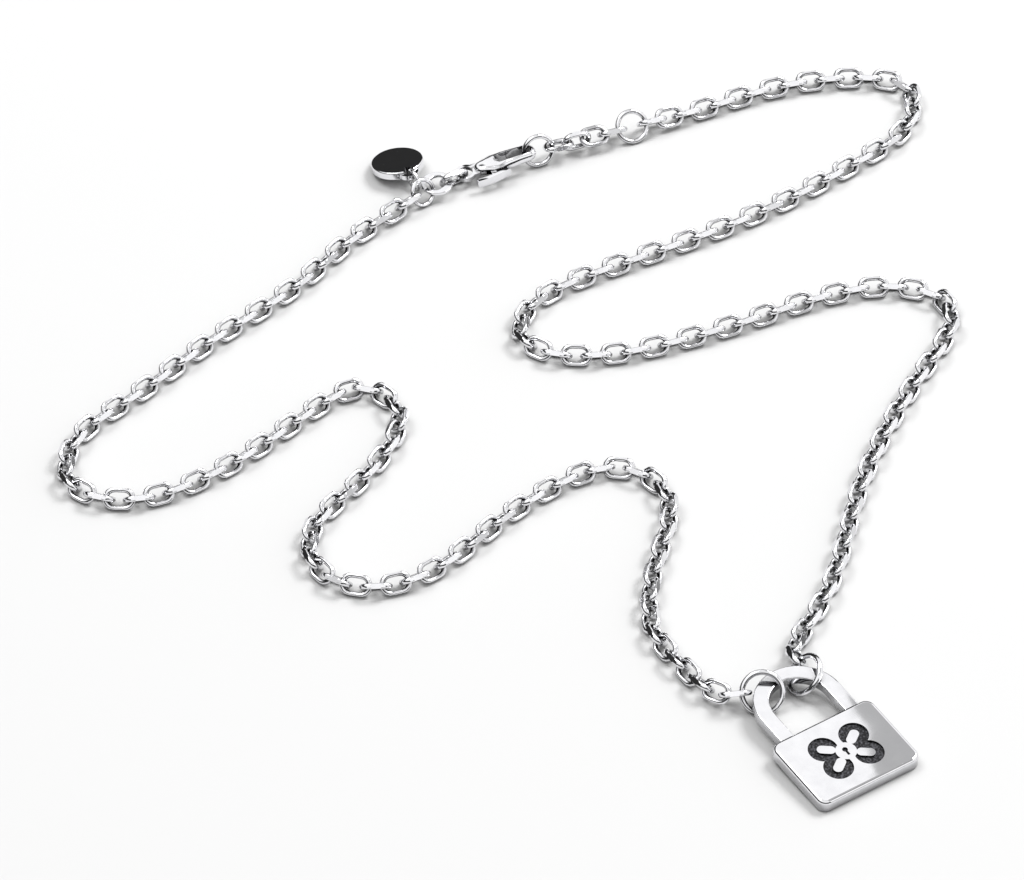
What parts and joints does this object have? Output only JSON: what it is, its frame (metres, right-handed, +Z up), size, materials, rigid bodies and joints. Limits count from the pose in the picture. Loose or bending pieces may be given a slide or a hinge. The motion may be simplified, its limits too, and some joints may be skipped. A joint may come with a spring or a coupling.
{
  "type": "padlock pendant necklace",
  "caption": "Silver padlock pendant with an arched shackle, hung by two rings on a cable chain with lobster clasp, extension and round tag, laid out as a loop.",
  "frame": {"origin": "middle of the laid-out necklace on the floor", "axes": "+Z up from the floor the necklace lies on, +Y from the padlock body towards its shackle, +X to the right of the padlock seen from above"},
  "size_m": [0.135, 0.1302, 0.0045],
  "materials": {
    "polished_silver": "polished sterling silver wire and castings",
    "polished_silver_tag": "mirror polished sterling silver disc",
    "oxidised_silver_padlock": "polished sterling silver, the sunk pattern blackened"
  },
  "bodies": {
    "necklace": {"padlock": "oxidised_silver_padlock", "pendant_ring_left": "polished_silver", "pendant_ring_right": "polished_silver", "chain_left": "polished_silver", "chain_right": "polished_silver", "end_ring": "polished_silver", "tag_ring": "polished_silver", "tag": "polished_silver_tag", "flat_ring": "polished_silver", "clasp_link": "polished_silver", "clasp_body": "polished_silver", "clasp_pin": "polished_silver", "clasp_ring": "polished_silver", "extension_chain": "polished_silver", "extension_ring": "polished_silver"},
    "lever": {"clasp_lever": "polished_silver"}
  },
  "joints": [
    {"name": "clasp_lever_hinge", "type": "hinge", "parent": "necklace", "child": "lever", "pos_m": [0.0109, 0.0543, 0.00182], "axis": [0.0995, -0.023, -0.9948], "range_deg": [0, 18], "stiffness_Nm_per_rad": 0.002, "springref_deg": -20.05}
  ]
}
